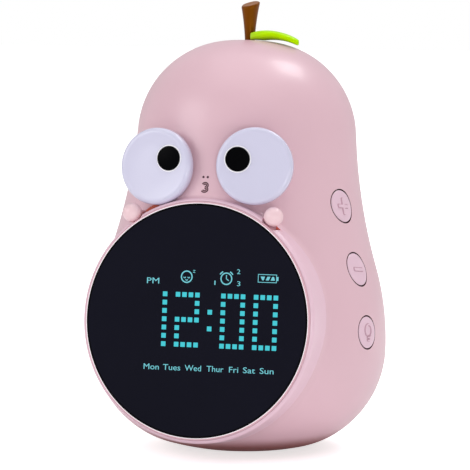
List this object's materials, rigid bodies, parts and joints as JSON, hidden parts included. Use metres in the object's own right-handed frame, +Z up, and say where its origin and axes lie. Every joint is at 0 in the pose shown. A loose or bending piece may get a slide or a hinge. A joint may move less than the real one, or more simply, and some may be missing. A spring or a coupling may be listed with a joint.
{
  "type": "kids alarm clock",
  "caption": "Pear-shaped desk clock for a child's room: a round dot display in a raised boss, two eyes that light up, stem and leaf, and sprung side buttons.",
  "frame": {"origin": "centre of the rubber foot's underside, on the surface that the clock stands on", "axes": "+Z up, the display faces -Y and leans back a little, and the buttons are on +X"},
  "size_m": [0.1062, 0.1034, 0.1615],
  "materials": {
    "shell": "soft satin pink",
    "button": "soft satin pink, with raised marks",
    "rim": "satin pale pink",
    "lens": "polished smoke-black window",
    "grid": "matte white",
    "led": "small clear emitters, turquoise when lit",
    "board": "green circuit board",
    "chip": "black moulding",
    "inner_plastic": "plain moulded",
    "eye": "glossy milk white",
    "pupil": "glossy black",
    "stem": "glossy brown",
    "leaf": "glossy lime green",
    "foot": "matte",
    "steel": "plated",
    "weight": "plain turned disc",
    "battery": "cell in a blue sleeve",
    "speaker": "black cone and frame"
  },
  "bodies": {
    "housing": {"front_shell": "shell", "rear_cover": "shell", "rear_screws": "steel", "foot_pad": "foot", "base_weight": "weight", "display_lens": "lens", "display_bezel": "rim", "display_grid": "grid", "display_leds": "led", "display_pcb": "board", "display_carrier": "inner_plastic", "carrier_screws": "steel", "main_pcb": "board", "main_chips": "chip", "main_screws": "steel", "eye_left": "eye", "eye_right": "eye", "pupil_left": "pupil", "pupil_right": "pupil", "eye_light_left": "board", "eye_light_right": "board", "hand_left": "shell", "hand_right": "shell", "stem": "stem", "leaf": "leaf", "switch_plus": "chip", "switch_minus": "chip", "switch_light": "chip", "button_pcb": "board", "button_screws": "steel", "battery": "battery", "battery_bracket": "inner_plastic", "bracket_screws": "steel", "speaker": "speaker", "usb_socket": "steel", "usb_board": "board"},
    "button_plus": {"button_plus": "button"},
    "button_minus": {"button_minus": "button"},
    "button_light": {"button_light": "button"}
  },
  "joints": [
    {"name": "button_plus_press", "type": "slide", "parent": "housing", "child": "button_plus", "axis": [-1, 0, 0], "range_m": [0, 0.0006], "stiffness_N_per_m": 900, "springref_m": -0.0006},
    {"name": "button_minus_press", "type": "slide", "parent": "housing", "child": "button_minus", "axis": [-1, 0, 0], "range_m": [0, 0.0006], "stiffness_N_per_m": 900, "springref_m": -0.0006},
    {"name": "button_light_press", "type": "slide", "parent": "housing", "child": "button_light", "axis": [-1, 0, 0], "range_m": [0, 0.0006], "stiffness_N_per_m": 900, "springref_m": -0.0006}
  ]
}
